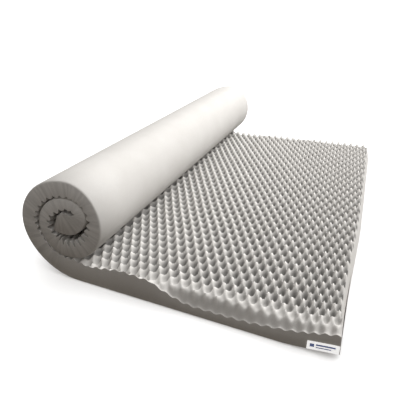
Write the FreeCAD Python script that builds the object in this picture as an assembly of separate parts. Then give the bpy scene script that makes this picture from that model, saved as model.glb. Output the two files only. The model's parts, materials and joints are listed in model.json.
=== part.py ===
"""A convoluted (egg-crate) foam pressure relief mattress, partly unrolled.

One foam slab lies flat to the right and is wound into a roll at the left, with its smooth back face outside.
The wound length is cut into straight strips. Each strip turns about a line on the back face, where the foam
keeps its length as it bends, so the roll opens out flat. A small label is stuck on the near side face.

Frame: millimetres, +X from the roll to the free end, +Y across the width, +Z up, and the origin on the floor
under the middle of the whole object.
"""
import FreeCAD
import Part
import math
import os

# Driving dimensions of the foam
WIDTH = 1200.0
LENGTH = 1950.0
FREE_HEIGHT = 72.0          # floor to the tips of the peaks where the foam lies free
PRESSED_HEIGHT = 50.0       # floor to the tips where the flat length disappears under the roll
PRESSED_LENGTH = 85.0       # how far that pressed wedge reaches

# The roll, a chain of tangent arcs: (bend radius of the back face, pressed foam thickness)
ARC_TURN = 60.0             # degrees of turning in each arc
ARCS = (
    (160.0, 54.0),          # first turn, up the left side
    (120.0, 54.0),
    (170.0, 38.0),
    (85.0, 40.0),           # over the top
    (115.0, 36.0),
    (120.0, 46.0),          # down the right side and in
    (75.0, 40.0),           # second turn
    (80.0, 44.0),
    (110.0, 42.0),
    (50.0, 38.0),
    (35.0, 26.0),
    (115.0, 30.0),          # the loose inner end
)
STRIPS_PER_ARC = 2
STRIP_GAP = 1.0             # between neighbouring strips, measured along the back face

# The label
LABEL_LENGTH = 62.0
LABEL_HEIGHT = 20.0
LABEL_THICKNESS = 0.8
ADHESIVE_THICKNESS = 0.2
ADHESIVE_MARGIN = 2.0       # the adhesive stops this far inside the label's edge
LABEL_FROM_END = 4.0
LABEL_FROM_FLOOR = 10.0

# Worked out from the driving dimensions
STRIP_TURN = math.radians(ARC_TURN / STRIPS_PER_ARC)
WOUND_LENGTH = sum(radius for radius, _ in ARCS) * math.radians(ARC_TURN)
FLAT_LENGTH = LENGTH - WOUND_LENGTH
LABEL_STANDS_OUT = ADHESIVE_THICKNESS + LABEL_THICKNESS
NEAR_FACE = -WIDTH / 2 + LABEL_STANDS_OUT / 2


def strip_edges():
    """The ends of the strips as (x, z, heading) on the back face, from the floor to the core.

    The heading is 0 along -X and grows as the foam turns up and over. x is measured from the first end.
    """
    x, z, heading = 0.0, 0.0, 0.0
    edges = [(x, z, heading)]
    for radius, _ in ARCS:
        for _ in range(STRIPS_PER_ARC):
            ahead = heading + STRIP_TURN
            x -= radius * (math.sin(ahead) - math.sin(heading))
            z -= radius * (math.cos(ahead) - math.cos(heading))
            heading = ahead
            edges.append((x, z, heading))
    return edges


def roll_start(edges):
    """X of the line where the flat length ends, with the whole object centred on X = 0."""
    leftmost = min(x for x, _, _ in edges)
    return -(leftmost + FLAT_LENGTH) / 2


def inner_point(edge, thickness):
    """The point at that depth inside the foam, square to the back face."""
    x, z, heading = edge
    return (x + thickness * math.sin(heading), z + thickness * math.cos(heading))


def moved_towards(point, other, distance):
    """The point moved that far towards the other one."""
    share = distance / math.dist(point, other)
    return tuple(a + share * (b - a) for a, b in zip(point, other))


def prism(outline):
    """A solid across the whole width, over a closed outline of (x, z) points."""
    points = [FreeCAD.Vector(x, NEAR_FACE, z) for x, z in outline]
    face = Part.Face(Part.makePolygon(points + points[:1]))
    return face.extrude(FreeCAD.Vector(0, WIDTH, 0))


def rolled_strip(start, end, thickness):
    """One wedge of wound foam: straight back face, straight inner face, ends square to the bent slab."""
    back_a, back_b = start[:2], end[:2]
    inner_a, inner_b = inner_point(start, thickness), inner_point(end, thickness)
    half_gap = STRIP_GAP / 2
    return prism([
        moved_towards(back_a, back_b, half_gap),
        moved_towards(back_b, back_a, half_gap),
        moved_towards(inner_b, inner_a, half_gap),
        moved_towards(inner_a, inner_b, half_gap),
    ])


def flat_section(start_x):
    """The length that lies on the floor, pressed down where it runs under the roll."""
    near_roll = start_x + STRIP_GAP / 2
    free_end = start_x + FLAT_LENGTH
    return prism([
        (near_roll, 0.0),
        (free_end, 0.0),
        (free_end, FREE_HEIGHT),
        (start_x + PRESSED_LENGTH, FREE_HEIGHT),
        (near_roll, PRESSED_HEIGHT),
    ])


def label_parts(free_end):
    """The label and the adhesive behind it, low on the near side face at the free end."""
    left = free_end - LABEL_FROM_END - LABEL_LENGTH
    corner = FreeCAD.Vector(left, NEAR_FACE - LABEL_STANDS_OUT, LABEL_FROM_FLOOR)
    label = Part.makeBox(LABEL_LENGTH, LABEL_THICKNESS, LABEL_HEIGHT, corner)
    inset = FreeCAD.Vector(ADHESIVE_MARGIN, LABEL_THICKNESS, ADHESIVE_MARGIN)
    adhesive = Part.makeBox(
        LABEL_LENGTH - 2 * ADHESIVE_MARGIN,
        ADHESIVE_THICKNESS,
        LABEL_HEIGHT - 2 * ADHESIVE_MARGIN,
        corner + inset,
    )
    return label, adhesive


def build():
    """All the nodes, by name."""
    edges = strip_edges()
    start_x = roll_start(edges)
    edges = [(x + start_x, z, heading) for x, z, heading in edges]
    nodes = {"flat_section": flat_section(start_x)}
    for number in range(len(edges) - 1):
        _, thickness = ARCS[number // STRIPS_PER_ARC]
        name = f"rolled_strip_{number + 1:02d}"
        nodes[name] = rolled_strip(edges[number], edges[number + 1], thickness)
    nodes["label"], nodes["label_adhesive"] = label_parts(start_x + FLAT_LENGTH)
    return nodes


os.makedirs("parts", exist_ok=True)
for name, shape in build().items():
    shape.exportStep(f"parts/{name}.step")
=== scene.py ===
"""A convoluted (egg-crate) foam pressure relief mattress, partly rolled up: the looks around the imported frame.

The foam is drawn in its own coordinates: s runs along the smooth back face from the start of the roll (negative
on the flat length), y runs across the width, and depth is measured from the back face into the foam. The back
face's line is bent into the roll, so the same peaks and valleys cover the flat length and the wound length.
"""
import json
import math

import bmesh
import bpy
import numpy as np
from mathutils import Matrix, Vector


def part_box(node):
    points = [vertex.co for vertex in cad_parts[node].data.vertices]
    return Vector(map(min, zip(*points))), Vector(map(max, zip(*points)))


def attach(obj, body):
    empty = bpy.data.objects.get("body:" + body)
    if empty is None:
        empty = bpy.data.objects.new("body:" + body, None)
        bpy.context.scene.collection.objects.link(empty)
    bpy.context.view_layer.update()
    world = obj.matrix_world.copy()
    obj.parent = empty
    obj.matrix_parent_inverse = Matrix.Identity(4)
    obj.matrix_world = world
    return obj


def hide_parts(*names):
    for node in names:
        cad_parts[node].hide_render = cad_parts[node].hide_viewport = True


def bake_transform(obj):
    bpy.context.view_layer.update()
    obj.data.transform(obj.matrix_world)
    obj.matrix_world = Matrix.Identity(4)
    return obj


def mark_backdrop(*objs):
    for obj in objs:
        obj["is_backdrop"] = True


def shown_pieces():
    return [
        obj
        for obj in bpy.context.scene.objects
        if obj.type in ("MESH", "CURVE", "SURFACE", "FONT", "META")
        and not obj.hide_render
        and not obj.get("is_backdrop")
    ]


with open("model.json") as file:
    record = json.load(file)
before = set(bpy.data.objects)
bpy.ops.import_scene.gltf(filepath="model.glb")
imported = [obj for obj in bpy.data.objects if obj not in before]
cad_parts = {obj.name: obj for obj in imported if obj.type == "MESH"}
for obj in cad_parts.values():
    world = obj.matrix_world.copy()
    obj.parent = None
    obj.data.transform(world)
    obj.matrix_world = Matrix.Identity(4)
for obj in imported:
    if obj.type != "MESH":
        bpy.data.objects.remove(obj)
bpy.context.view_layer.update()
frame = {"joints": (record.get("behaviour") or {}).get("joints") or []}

MM = 0.001

# The egg-crate face, in metres
PITCHES = (                     # s, peak to peak along a row: short at the free end, stretched round the roll
    (-660 * MM, 23.9 * MM),
    (-400 * MM, 26.0 * MM),
    (-210 * MM, 27.8 * MM),
    (0, 27.6 * MM),
    (40 * MM, 28.5 * MM),
)
ROLL_TO_ORIGIN = 251 * MM       # from the roll's start to the frame's origin: the rows' drift starts there
SADDLE = 0.54                   # height of the saddles between neighbouring peaks, as a share of the relief
RIDGE_WIDTH = 1.0               # 2 would be a plain wave, less makes sharper peaks
PRESSED_FLATNESS = 2.4          # more makes the pressed peaks of the roll broader
ROLL_FADE = 60 * MM             # the free peaks turn into pressed ones over this length before the roll
PEAK_ROUGHNESS = 1.2 * MM       # how unequal the free peaks are
FLAT_LINE = 2.8 * MM            # between mesh lines along the flat length
WOUND_LINE = 4.0 * MM           # between mesh lines round the roll
WIDTH_LINE = 3.5 * MM           # between mesh lines across the width

# Thickness at the peaks, and depth of the valleys below them
FLAT_PROFILE = (                # s, peak height, valley depth
    (-600 * MM, 72 * MM, 31 * MM),
    (-70 * MM, 72 * MM, 31 * MM),
    (-30 * MM, 71 * MM, 24 * MM),
)
WOUND_PROFILE = (               # heading in degrees, peak height and valley depth in millimetres
    (0, 68.8, 9),
    (15, 64.0, 5),
    (30, 59.4, 4),
    (45, 57.1, 4),
    (60, 57.3, 4),
    (75, 57.4, 7),
    (90, 53, 12),
    (105, 50, 13),
    (120, 48, 12),
    (135, 46, 11),
    (150, 44.5, 10),
    (165, 44, 9),
    (180, 44.2, 8),
    (195, 44, 6),
    (210, 43.2, 6),
    (225, 41.5, 7),
    (240, 39, 8),
    (255, 36.5, 9),
    (270, 38.5, 15),
    (285, 44.5, 20),
    (300, 49, 26),
    (315, 50, 27),
    (330, 50, 27),
    (345, 50, 26),
    (360, 51, 25),
    (375, 54, 22),
    (390, 57, 18),
    (405, 55, 12),
    (420, 47, 10),
    (435, 42, 12),
    (450, 37, 14),
    (465, 36, 14),
    (480, 35, 14),
    (495, 35, 12),
    (510, 37, 10),
    (525, 33, 9),
    (540, 33, 8),
    (570, 32, 5),
    (600, 33, 3),
    (630, 34, 2),
    (660, 34, 3),
    (667, 48, 6),
    (675, 58, 8),
    (690, 64, 9),
    (705, 64, 9),
    (720, 61, 8),
    (735, 55, 7),
    (743, 53, 6),
)
LOOSE_RADIUS = 76 * MM          # the loose inner end curls a little tighter than its CAD strips
LOOSE_FROM = 675                # heading where that starts, in degrees

# How the near cut face cuts through the peaks, in millimetres: distance from the roll, height of its top edge
NEAR_CUT = (
    (40, 60), (63, 60), (91, 64), (117, 68), (142, 71), (168, 70), (194, 68), (221, 66), (236, 58),
    (256, 48), (281, 38), (305, 31), (326, 28), (401, 29), (461, 31), (565, 43), (637, 50), (660, 50),
)
LOW_EDGE = (150 * MM, 290 * MM)  # the cut's edge drops from high to low between these distances from the roll
EDGE_SLOPE = 16 * MM            # how far behind the cut face the surface is back at its own height
EDGE_WAVE = 2.5 * MM            # the cut's edge goes up and down with the peaks
EDGE_ROUGHNESS = 0.8 * MM
LOW_RIM = 7 * MM                # how much lower the first peaks are than the others
LOW_RIM_ZONE = 45 * MM
SHALLOW_ROWS = 70 * MM          # the valleys near the cut face are shallower, up to this distance from it
VALLEY_PAINTED_SHADE = 0.34              # painted shade at the bottom of the valleys and painted highlight on the crests, as shares of the foam's colour
CREST_PAINTED_HIGHLIGHT = 1.3
EDGE_PAINTED_SHADE = 0.92                # and painted shade on the slope behind the near cut
END_SKEW = 15 * MM              # the free end's cut stands back this far at the near corner
END_ZONE = 120 * MM             # the last rows are squeezed together over this length
END_SLANT = 0.20                # how far the cut leans back towards the roll, as a share of its height
END_FOOT = 3 * MM               # height of its upright foot
CORNER_LIFT = 15 * MM           # the near corner at the free end stands off the floor

LABEL_PLACE = (0.328, 0.004)    # x and height of the label's lower corner before the lift, in metres
LABEL_SIZE = (61 * MM, 21 * MM)
LABEL_CORNER = 1.2 * MM
LABEL_BARS = (                  # centre and half size of the printed bars, as shares of the label
    ((0.16, 0.55), (0.07, 0.20)),
    ((0.58, 0.66), (0.30, 0.10)),
    ((0.52, 0.34), (0.24, 0.06)),
)

EDGE_ROUND = 4 * MM             # rounding where the back face meets the cut faces
SIDE_FACES = 599.3 * MM         # both cut side faces lie just beyond this distance from the middle
HINGE_TURN = math.radians(30)


# ---------------------------------------------------------------- the back face's line

def strip_hinges():
    """The hinge points (x, z) from the floor to the core, in order along the foam."""
    ordered = sorted(frame["joints"], key=lambda joint: joint["child"])
    return [(joint["pos_m"][0], joint["pos_m"][2]) for joint in ordered]


class BackLine:
    """The back face's line in (x, z): straight on the floor for s < 0, then a chain of arcs."""

    def __init__(self, hinges):
        radii = [math.dist(a, b) / (2 * math.sin(HINGE_TURN / 2)) for a, b in zip(hinges, hinges[1:])]
        radii.append(radii[-1])
        length = sum(radii) * HINGE_TURN
        loose = int(LOOSE_FROM // 30)
        arcs = [(radius, HINGE_TURN) for radius in radii[:loose]]
        arcs.append((radii[loose], math.radians(LOOSE_FROM) - loose * HINGE_TURN))
        rest = length - sum(radius * turn for radius, turn in arcs)
        arcs.append((LOOSE_RADIUS, rest / LOOSE_RADIUS))
        s, x, z, heading = 0.0, hinges[0][0], hinges[0][1], 0.0
        rows = []
        for radius, turn in arcs:
            rows.append((s, x, z, heading, radius))
            ahead = heading + turn
            x -= radius * (math.sin(ahead) - math.sin(heading))
            z -= radius * (math.cos(ahead) - math.cos(heading))
            s += radius * turn
            heading = ahead
        self.arcs = np.array(rows)
        self.start_x = hinges[0][0]
        self.length = s
        self.last_heading = heading

    def at(self, s):
        """x, z and heading at each distance along the back face."""
        s = np.asarray(s, float)
        arc = np.clip(np.searchsorted(self.arcs[:, 0], s, "right") - 1, 0, None)
        s0, x0, z0, h0, radius = np.moveaxis(self.arcs[arc], -1, 0)
        heading = np.where(s < 0, 0.0, h0 + (s - s0) / radius)
        x = np.where(s < 0, self.start_x - s, x0 - radius * (np.sin(heading) - np.sin(h0)))
        z = np.where(s < 0, 0.0, z0 - radius * (np.cos(heading) - np.cos(h0)))
        return x, z, heading

    def distance_at(self, degrees):
        """The distance along the back face where it has turned that far."""
        ends = np.append(self.arcs[:, 3], self.last_heading)
        distances = np.append(self.arcs[:, 0], self.length)
        return np.interp(np.radians(degrees), ends, distances)


# ---------------------------------------------------------------- the egg-crate surface

def ease(value, low, high):
    """0 below low, 1 above high, and smooth between them."""
    t = np.clip((np.asarray(value, float) - low) / (high - low), 0, 1)
    return t * t * (3 - 2 * t)


def wander(s, y, scale, seed):
    """A smooth, repeatable irregularity between about -1 and 1, with features of that size in metres."""
    a = np.sin(s / scale * 1.7 + 1.3 * seed + 1.1 * np.sin(y / scale * 1.3 + seed))
    b = np.sin(y / scale * 2.1 + 2.1 * seed + 0.9 * np.sin(s / scale * 0.8 + 2 * seed))
    return 0.5 * (a + b)


def ridge(turns):
    """A row of ridges: 1 on the ridge and 0 half-way to the next one."""
    return 1 - np.abs(np.sin(math.pi * turns)) ** RIDGE_WIDTH


def free_relief(along, across):
    """Free peaks: 1 at the tips and 0 at the bottom of the valleys, with sharp ridges between the tips."""
    one, other = ridge(along + across), ridge(along - across)
    return SADDLE * (one + other) + (1 - 2 * SADDLE) * one * other


def pressed_relief(along, across):
    """Peaks pressed flat inside the roll."""
    wave = 0.5 + 0.5 * np.cos(2 * math.pi * along) * np.cos(2 * math.pi * across)
    return 1 - (1 - wave) ** PRESSED_FLATNESS


def painted_crate_shading(free, behind):
    """Painted shading of the foam's colour: painted shade in the valleys, painted highlight on the crests, and
    more even near the cut.
    """
    full = VALLEY_PAINTED_SHADE + (CREST_PAINTED_HIGHLIGHT - VALLEY_PAINTED_SHADE) * ease(free, 0.15, 0.9)
    return 1 + (full - 1) * (1 - 0.75 * behind)


class Foam:
    """Heights of the egg-crate face over the back face."""

    def __init__(self, line, near, far, end):
        self.line, self.near, self.far, self.end = line, near, far, end
        wound = [(float(line.distance_at(h)), top * MM, valley * MM) for h, top, valley in WOUND_PROFILE]
        self.profile = np.array(list(FLAT_PROFILE) + wound).T
        self.near_cut = np.array(NEAR_CUT).T * MM
        self.steps = np.linspace(-0.7, line.length, 4000)
        pitch = np.interp(self.steps, *np.array(PITCHES).T)
        counted = np.cumsum((self.steps[1] - self.steps[0]) / pitch)
        self.counted = counted - np.interp(0, self.steps, counted)

    def grid_phase(self, s, from_near):
        """Phases of the peaks along and across the foam, in turns: the rows and columns drift a little."""
        x = np.clip(-s - ROLL_TO_ORIGIN, -100 * MM, 410 * MM) / (100 * MM)
        y = from_near / (100 * MM)
        bow = np.where(y < 7, y * y, 14 * y - 49)
        along = np.interp(s, self.steps, self.counted) - 0.645 - 0.039 * y - 0.019 * bow + 0.014 * x * y
        across = 0.379 + 1.96 * y - 0.036 * x - 0.028 * x * x + 0.027 * x * y - 0.016 * bow
        along = along + 0.03 * wander(s, from_near, 0.09, 1)
        across = across + 0.02 * wander(s, from_near, 0.11, 2)
        return along, across

    def crate_height(self, s, y, relief, flat, low_edge, behind):
        """Height of the peaks and valleys, before any cut."""
        peak_height = np.interp(s, self.profile[0], self.profile[1])
        depth = np.interp(s, self.profile[0], self.profile[2])
        depth = depth * (1 - flat * behind * (0.2 + 0.45 * low_edge))
        low_rim = LOW_RIM * (1 - ease(y - self.near, 0, LOW_RIM_ZONE))
        top = peak_height - depth * (1 - relief) - flat * low_rim
        return top + flat * PEAK_ROUGHNESS * wander(s, y, 0.035, 3) * relief

    def near_edge(self, s, y, along):
        """Height of the near cut's wavy top edge."""
        edge = np.interp(-s, self.near_cut[0], self.near_cut[1])
        return edge + EDGE_WAVE * np.cos(2 * math.pi * along + 0.6) + EDGE_ROUGHNESS * wander(s, y, 0.05, 4)

    def end_cut(self, s, from_near):
        """Height of the slanting cut at the free end, which is upright at the near corner."""
        slant = 0.03 + END_SLANT * ease(from_near, 0, 0.12)
        return END_FOOT + (s - self.line.start_x + self.end) / slant

    def top(self, s, y):
        """Height of the egg-crate face over the back face on a grid of s and y, and its painted shading as a
        lightness factor.
        """
        s, y = np.meshgrid(s, y, indexing="ij")
        from_near = y - self.near
        flat = 1 - ease(s, -ROLL_FADE, 0)
        low_edge = ease(-s, *LOW_EDGE)
        behind = 1 - ease(from_near, 0, SHALLOW_ROWS)
        along, across = self.grid_phase(s, from_near)
        free = free_relief(along, across)
        relief = free * flat + pressed_relief(along, across) * (1 - flat)
        share = flat * (1 - ease(from_near, 0, EDGE_SLOPE * (0.4 + 0.6 * low_edge)))
        height = self.crate_height(s, y, relief, flat, low_edge, behind) * (1 - share)
        height = height + self.near_edge(s, y, along) * share
        # painted shade in the valleys and painted highlight on the crests, evened out near the cut, with painted
        # shade on the slope behind it
        tone = painted_crate_shading(free, behind) * (1 - share) + EDGE_PAINTED_SHADE * share
        tone = np.where((y < self.far) & (from_near > 0), tone, 1)
        cut = self.end_cut(s, from_near)
        return np.minimum(height, cut), np.where(cut < height, 1, tone)

    def lift(self, x, y):
        """How far the near corner at the free end stands off the floor."""
        return CORNER_LIFT * ease(x, 0.27, 0.41) * ease(-y, 0.42, 0.62)

    def set_back(self, x, y):
        """How far the free end is pushed back towards the near corner."""
        skew = END_SKEW * (1 - ease(y - self.near, 0.05, 0.6))
        return skew * ease(x, self.end - END_ZONE, self.end)

    def place(self, s, y, depth):
        """Points of the foam in the row frame."""
        x, z, heading = self.line.at(s)
        x = x - self.set_back(x, y)
        px = x + depth * np.sin(heading)
        pz = z + depth * np.cos(heading)
        pz = pz + np.where(np.asarray(s) < 0, self.lift(px, y), 0)
        return np.stack([px, y + 0 * px, pz], -1)


def across_lines(foam):
    """The mesh lines across the width: closer together behind the near cut face."""
    rim = foam.near + np.array([0, 1.2, 2.7, 4.5, 6.5]) * MM
    inner = foam.near + 9 * MM
    count = round((foam.far - foam.near - 9 * MM) / WIDTH_LINE)
    return np.concatenate([rim, np.linspace(inner, foam.far, count)])


def add_attribute(mesh, name, kind, field, values):
    attribute = mesh.attributes.new(name, kind, "POINT")
    attribute.data.foreach_set(field, np.asarray(values, np.float32).ravel())


def foam_piece(name, foam, start, end, material):
    """A closed block of foam from one cross-section to another."""
    spacing = FLAT_LINE if end < 0 else WOUND_LINE
    s = np.linspace(start, end, round((end - start) / spacing) + 1)
    y = across_lines(foam)
    height, tone = foam.top(s, y)
    back_y = np.concatenate([
        [foam.far, foam.far - EDGE_ROUND],
        np.linspace(foam.far, foam.near, 14)[1:-1],
        [foam.near + EDGE_ROUND, foam.near],
    ])
    back_depth = np.zeros(len(back_y))
    back_depth[[0, -1]] = EDGE_ROUND
    rows, columns = len(s), len(y) + len(back_y)
    loop_y = np.concatenate([y, back_y])
    depth = np.concatenate([height, np.broadcast_to(back_depth, (rows, len(back_y)))], 1)
    grid_s = np.broadcast_to(s[:, None], depth.shape)
    grid_y = np.broadcast_to(loop_y, depth.shape)
    points = foam.place(grid_s, grid_y, depth).reshape(-1, 3)
    index = np.arange(rows * columns).reshape(rows, columns)
    here, ahead = index[:-1], index[1:]
    quads = np.stack([here, ahead, np.roll(ahead, -1, 1), np.roll(here, -1, 1)], -1).reshape(-1, 4)
    faces = quads[:, ::-1].tolist() + [index[0].tolist(), index[-1][::-1].tolist()]
    mesh = bpy.data.meshes.new(name)
    mesh.from_pydata(points.tolist(), [], faces)
    mesh.update()
    coordinates = np.stack([grid_s, grid_y, depth], -1).reshape(-1, 3)
    add_attribute(mesh, "foam", "FLOAT_VECTOR", "vector", coordinates)
    # the painted shade and highlight of the egg-crate, as a lightness factor per point; 1 on the back face and
    # cut faces
    tones = np.concatenate([tone, np.ones((rows, len(back_y)))], 1)
    add_attribute(mesh, "tone", "FLOAT", "value", tones)
    mesh.polygons.foreach_set("use_smooth", [True] * len(mesh.polygons))
    mesh.set_sharp_from_angle(angle=math.radians(62))
    mesh.materials.append(material)
    piece = bpy.data.objects.new(name, mesh)
    bpy.context.scene.collection.objects.link(piece)
    return piece, points.reshape(rows, columns, 3)


def bend_zone(piece, sections, hinge, heading, bodies, free_end):
    """Works out the zone round the hinge between the piece's two end sections, which is not used further, and
    bakes the piece's placement into its mesh.
    """
    x, z = hinge
    along = np.array([-math.cos(heading), 0, math.sin(heading)])
    origin = np.array([x, 0, z])
    before = ((sections[0] - origin) @ along).max()
    after = ((sections[-1] - origin) @ along).min()
    if bodies[0] == "flat_section":
        before = -after
    if free_end:
        after = -before
    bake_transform(piece)


def build_foam(material):
    hinges = strip_hinges()
    low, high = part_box("flat_section")
    line = BackLine(hinges)
    foam = Foam(line, low.y, high.y, high.x)
    free_end = line.start_x - high.x
    seams = [-50 * MM]
    seams += [float(line.distance_at(30 * number - 15)) for number in range(1, len(hinges))]
    seams.append(line.length)
    flat, _ = foam_piece("foam_flat", foam, free_end, seams[0], material)
    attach(flat, "flat_section")
    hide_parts("flat_section")
    below = "flat_section"
    for number, hinge in enumerate(hinges):
        body = f"rolled_strip_{number + 1:02d}"
        name = f"foam_roll_{number + 1:02d}"
        piece, sections = foam_piece(name, foam, seams[number], seams[number + 1], material)
        bend_zone(piece, sections, hinge, number * HINGE_TURN, (below, body), number == len(hinges) - 1)
        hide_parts(body)
        below = body
    return foam


# ---------------------------------------------------------------- the label

def rounded_outline(width, height):
    """Points round a rectangle with rounded corners, and along its long sides, so that it can bend."""
    points = []
    for cx, cy, start in ((width, height, 0), (0, height, 90), (0, 0, 180), (width, 0, 270)):
        inward_x = LABEL_CORNER if cx == 0 else -LABEL_CORNER
        inward_y = LABEL_CORNER if cy == 0 else -LABEL_CORNER
        for turn in range(0, 91, 15):
            angle = math.radians(start + turn)
            x = cx + inward_x + LABEL_CORNER * math.cos(angle)
            y = cy + inward_y + LABEL_CORNER * math.sin(angle)
            points.append((x, y))
        along = np.linspace(0.9, 0.1, 9) * width
        if start == 0:
            points += [(x, height) for x in along]
        if start == 180:
            points += [(x, 0) for x in along[::-1]]
    return points


def label_piece(name, foam, margin, front, back, material):
    """A thin flat piece on the near cut face, which follows the lifted corner."""
    width, height = LABEL_SIZE[0] - 2 * margin, LABEL_SIZE[1] - 2 * margin
    outline = rounded_outline(width, height)
    verts = []
    for y in (front, back):
        for u, v in outline:
            x = LABEL_PLACE[0] + margin + u
            z = LABEL_PLACE[1] + margin + v + float(foam.lift(x, foam.near))
            verts.append((x, y, z))
    count = len(outline)
    faces = [list(range(count)), list(range(2 * count - 1, count - 1, -1))]
    faces += [[i, i + count, (i + 1) % count + count, (i + 1) % count] for i in range(count)]
    piece = plain_mesh(name, verts, faces, material)
    spots = [((u + margin) / LABEL_SIZE[0], (v + margin) / LABEL_SIZE[1], 0) for u, v in outline] * 2
    add_attribute(piece.data, "place", "FLOAT_VECTOR", "vector", spots)
    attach(piece, "flat_section")
    return piece


def build_label(foam):
    near_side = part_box("label")[0].y
    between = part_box("label_adhesive")[0].y
    label = label_piece("printed_label", foam, 0, near_side, between, label_material())
    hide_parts("label")
    film = label_piece("label_film", foam, 1 * MM, between, foam.near, film_material())
    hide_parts("label_adhesive")


# ---------------------------------------------------------------- materials

def math_node(nodes, links, operation, first, second):
    """A Math node: its first input is a node's output, its second an output or a number."""
    node = nodes.new("ShaderNodeMath")
    node.operation = operation
    links.new(first, node.inputs[0])
    if isinstance(second, float):
        node.inputs[1].default_value = second
    else:
        links.new(second, node.inputs[1])
    return node.outputs["Value"]


def map_range(nodes, links, value, before, after):
    """A Map Range node between two pairs of (low, high)."""
    node = nodes.new("ShaderNodeMapRange")
    node.inputs["From Min"].default_value, node.inputs["From Max"].default_value = before
    node.inputs["To Min"].default_value, node.inputs["To Max"].default_value = after
    links.new(value, node.inputs["Value"])
    return node.outputs["Result"]


def attribute_node(nodes, name):
    node = nodes.new("ShaderNodeAttribute")
    node.attribute_name = name
    return node


def new_material(name):
    material = bpy.data.materials.new(name)
    material.use_nodes = True
    nodes, links = material.node_tree.nodes, material.node_tree.links
    return material, nodes, links, nodes["Principled BSDF"]


def painted_crease_shade(nodes, links, place):
    """Faint lines of painted shade, as in creases, across the thickness of the rolled-up length, on the two cut
    side faces only.
    """
    stretched = nodes.new("ShaderNodeVectorMath")
    stretched.operation = "MULTIPLY"
    stretched.inputs[1].default_value = (75, 0, 9)
    links.new(place.outputs["Vector"], stretched.inputs[0])
    noise = nodes.new("ShaderNodeTexNoise")
    noise.inputs["Scale"].default_value = 1.0
    noise.inputs["Detail"].default_value = 3
    links.new(stretched.outputs["Vector"], noise.inputs["Vector"])
    axes = nodes.new("ShaderNodeSeparateXYZ")
    links.new(place.outputs["Vector"], axes.inputs["Vector"])
    half_width = nodes.new("ShaderNodeMath")
    half_width.operation = "ABSOLUTE"
    links.new(axes.outputs["Y"], half_width.inputs[0])
    side = math_node(nodes, links, "GREATER_THAN", half_width.outputs["Value"], SIDE_FACES)
    rolled = map_range(nodes, links, axes.outputs["X"], (0.0, 0.15), (0.0, 1.0))
    shown = math_node(nodes, links, "MULTIPLY", side, rolled)
    # painted crease shade: streaks from stretched noise, mostly darker than the foam
    dark = map_range(nodes, links, noise.outputs["Fac"], (0.35, 0.6), (0.84, 1.03))
    chosen = nodes.new("ShaderNodeMix")
    chosen.inputs["A"].default_value = 1.0
    links.new(shown, chosen.inputs["Factor"])
    links.new(dark, chosen.inputs["B"])
    return chosen.outputs["Result"]


def foam_material():
    material, nodes, links, shader = new_material("open_cell_foam")
    place = attribute_node(nodes, "foam")
    cells = nodes.new("ShaderNodeTexVoronoi")
    cells.inputs["Scale"].default_value = 900
    blotches = nodes.new("ShaderNodeTexNoise")
    blotches.inputs["Scale"].default_value = 14
    blotches.inputs["Detail"].default_value = 4
    links.new(place.outputs["Vector"], cells.inputs["Vector"])
    links.new(place.outputs["Vector"], blotches.inputs["Vector"])
    tone = nodes.new("ShaderNodeValToRGB")
    tone.color_ramp.elements[0].position = 0.3
    tone.color_ramp.elements[0].color = (0.62, 0.600, 0.572, 1)
    tone.color_ramp.elements[1].position = 0.7
    tone.color_ramp.elements[1].color = (0.65, 0.632, 0.606, 1)
    links.new(blotches.outputs["Fac"], tone.inputs["Fac"])
    pores = map_range(nodes, links, cells.outputs["Distance"], (0.0, 0.5), (0.86, 1.0))
    shade = nodes.new("ShaderNodeMix")
    shade.data_type = "RGBA"
    shade.blend_type = "MULTIPLY"
    shade.inputs["Factor"].default_value = 1.0
    links.new(tone.outputs["Color"], shade.inputs["A"])
    links.new(pores, shade.inputs["B"])
    # painted shade in the valleys and painted highlight on the crests, from the points' tone, times the painted
    # crease shade on the cut side faces
    painted = attribute_node(nodes, "tone").outputs["Fac"]
    lightness = math_node(nodes, links, "MULTIPLY", painted, painted_crease_shade(nodes, links, place))
    toned = nodes.new("ShaderNodeVectorMath")
    toned.operation = "SCALE"
    links.new(shade.outputs["Result"], toned.inputs[0])
    links.new(lightness, toned.inputs["Scale"])
    bump = nodes.new("ShaderNodeBump")
    bump.inputs["Strength"].default_value = 0.35
    bump.inputs["Distance"].default_value = 0.0006
    links.new(cells.outputs["Distance"], bump.inputs["Height"])
    links.new(toned.outputs["Vector"], shader.inputs["Base Color"])
    links.new(bump.outputs["Normal"], shader.inputs["Normal"])
    shader.inputs["Roughness"].default_value = 0.95
    shader.inputs["Specular IOR Level"].default_value = 0.2
    return material


def box_mask(nodes, links, place, centre, half):
    """1 inside a rectangle of the label, 0 outside."""
    away = nodes.new("ShaderNodeVectorMath")
    away.operation = "SUBTRACT"
    away.inputs[1].default_value = (*centre, 0)
    links.new(place.outputs["Vector"], away.inputs[0])
    size = nodes.new("ShaderNodeVectorMath")
    size.operation = "ABSOLUTE"
    links.new(away.outputs["Vector"], size.inputs[0])
    parts = nodes.new("ShaderNodeSeparateXYZ")
    links.new(size.outputs["Vector"], parts.inputs["Vector"])
    inside_x = math_node(nodes, links, "LESS_THAN", parts.outputs["X"], half[0])
    inside_y = math_node(nodes, links, "LESS_THAN", parts.outputs["Y"], half[1])
    return math_node(nodes, links, "MULTIPLY", inside_x, inside_y)


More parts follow.
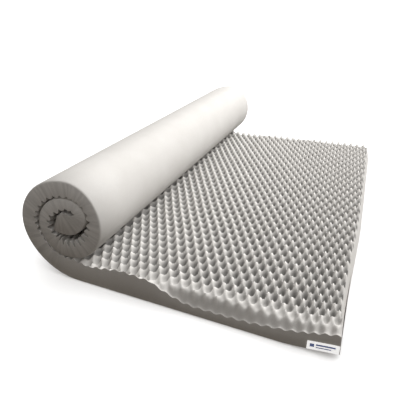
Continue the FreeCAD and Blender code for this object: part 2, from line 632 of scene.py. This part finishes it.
def label_material():
    """Very white, with a little painted glow in place of the shine of a glossy film, and plain dark-blue bars in
    place of any mark or wording.
    """
    material, nodes, links, shader = new_material("printed_label")
    place = attribute_node(nodes, "place")
    marks = [box_mask(nodes, links, place, centre, half) for centre, half in LABEL_BARS]
    total = marks[0]
    for mark in marks[1:]:
        total = math_node(nodes, links, "MAXIMUM", total, mark)
    colour = nodes.new("ShaderNodeMix")
    colour.data_type = "RGBA"
    colour.inputs["A"].default_value = (0.95, 0.95, 0.95, 1)
    colour.inputs["B"].default_value = (0.05, 0.07, 0.16, 1)
    links.new(total, colour.inputs["Factor"])
    links.new(colour.outputs["Result"], shader.inputs["Base Color"])
    shader.inputs["Roughness"].default_value = 0.6
    # painted light: the label glows a little, so that it stays bright white on the shaded cut face
    links.new(colour.outputs["Result"], shader.inputs["Emission Color"])
    shader.inputs["Emission Strength"].default_value = 0.62
    return material


def film_material():
    """Clear adhesive film, slightly yellow."""
    material, nodes, links, shader = new_material("adhesive_film")
    haze = nodes.new("ShaderNodeTexNoise")
    haze.inputs["Scale"].default_value = 300
    tint = nodes.new("ShaderNodeMix")
    tint.data_type = "RGBA"
    tint.inputs["A"].default_value = (0.62, 0.58, 0.45, 1)
    tint.inputs["B"].default_value = (0.70, 0.67, 0.55, 1)
    links.new(haze.outputs["Fac"], tint.inputs["Factor"])
    links.new(tint.outputs["Result"], shader.inputs["Base Color"])
    shader.inputs["Roughness"].default_value = 0.3
    return material


# ---------------------------------------------------------------- stage, lights and camera

def plain_mesh(name, points, faces, material):
    mesh = bpy.data.meshes.new(name)
    mesh.from_pydata(points, [], faces)
    mesh.materials.append(material)
    piece = bpy.data.objects.new(name, mesh)
    bpy.context.scene.collection.objects.link(piece)
    return piece


def glowing_material(name, base, glow):
    """A matt white that gives off a little light of its own, so that shadows on it stay pale."""
    material, _, _, shader = new_material(name)
    shader.inputs["Base Color"].default_value = (base, base, base, 1)
    shader.inputs["Roughness"].default_value = 1.0
    shader.inputs["Specular IOR Level"].default_value = 0.0
    shader.inputs["Emission Color"].default_value = (1, 1, 1, 1)
    shader.inputs["Emission Strength"].default_value = glow
    return material


def studio():
    """A plain pale floor and a plain white dome behind it, which only the camera sees."""
    size = 40
    corners = [(-size, -size, 0), (size, -size, 0), (size, size, 0), (-size, size, 0)]
    floor = plain_mesh("floor", corners, [(0, 1, 2, 3)], glowing_material("pale_floor", 0.9, 0.12))
    floor.visible_diffuse = False
    bm = bmesh.new()
    bmesh.ops.create_icosphere(bm, subdivisions=3, radius=30)
    backdrop = plain_mesh("backdrop", [], [], glowing_material("white_backdrop", 0.0, 1.2))
    bm.to_mesh(backdrop.data)
    bm.free()
    for seen in ("visible_diffuse", "visible_glossy", "visible_transmission", "visible_shadow"):
        setattr(backdrop, seen, False)
    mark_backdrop(floor, backdrop)
    return floor


def sky():
    """Weak soft light from all round, brighter overhead and warmer from low down."""
    world = bpy.data.worlds.new("studio")
    world.use_nodes = True
    bpy.context.scene.world = world
    nodes, links = world.node_tree.nodes, world.node_tree.links
    place = nodes.new("ShaderNodeTexCoord")
    towards = nodes.new("ShaderNodeVectorMath")
    towards.operation = "DOT_PRODUCT"
    towards.inputs[1].default_value = Vector((0.3, 0.3, 1.0)).normalized()
    links.new(place.outputs["Generated"], towards.inputs[0])
    ramp = nodes.new("ShaderNodeValToRGB")
    ramp.color_ramp.elements[0].position = 0.0
    ramp.color_ramp.elements[0].color = (0.10, 0.085, 0.07, 1)
    ramp.color_ramp.elements[1].position = 0.95
    ramp.color_ramp.elements[1].color = (1.0, 1.0, 1.0, 1)
    links.new(towards.outputs["Value"], ramp.inputs["Fac"])
    links.new(ramp.outputs["Color"], nodes["Background"].inputs["Color"])
    nodes["Background"].inputs["Strength"].default_value = 1.15


def lamp(name, light, place, lit):
    """A light standing there, pointed at the middle of the mattress, which lights only those objects."""
    source = bpy.data.objects.new(name, light)
    bpy.context.scene.collection.objects.link(source)
    source.location = place
    source.rotation_euler = (Vector(place) - Vector((0.1, 0, 0))).to_track_quat("Z", "Y").to_euler()
    receivers = bpy.data.collections.new(name + "_receivers")
    for piece in lit:
        receivers.objects.link(piece)
    source.light_linking.receiver_collection = receivers


def lights(floor):
    key = bpy.data.lights.new("key", "AREA")
    key.shape = "DISK"
    key.size = 1.2
    key.energy = 104
    lamp("key", key, (1.65, 1.25, 2.7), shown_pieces())
    dome = bpy.data.lights.new("floor_dome", "SUN")
    dome.energy = 2.1
    dome.angle = math.radians(150)
    lamp("floor_dome", dome, (0.1, 0, 3), [floor])


def camera():
    yaw, pitch, roll = 0.441858, 0.43305, -0.027843
    forward = Vector((-math.sin(yaw) * math.cos(pitch), math.cos(yaw) * math.cos(pitch), -math.sin(pitch)))
    right = Vector((math.cos(yaw), math.sin(yaw), 0))
    up = right.cross(forward)
    tilted_right = math.cos(roll) * right + math.sin(roll) * up
    tilted_up = math.cos(roll) * up - math.sin(roll) * right
    data = bpy.data.cameras.new("camera")
    data.sensor_width = 36
    data.lens = 35.385
    data.shift_x = 0.0375
    data.shift_y = -0.035
    data.clip_start = 0.01
    data.clip_end = 200
    viewer = bpy.data.objects.new("camera", data)
    bpy.context.scene.collection.objects.link(viewer)
    axes = Matrix((tilted_right, tilted_up, -forward)).transposed()
    viewer.matrix_world = Matrix.Translation((0.36327, -1.22676, 0.64714)) @ axes.to_4x4()
    bpy.context.scene.camera = viewer


bpy.context.scene.view_settings.view_transform = "Standard"
build_label(build_foam(foam_material()))
sky()
lights(studio())
camera()
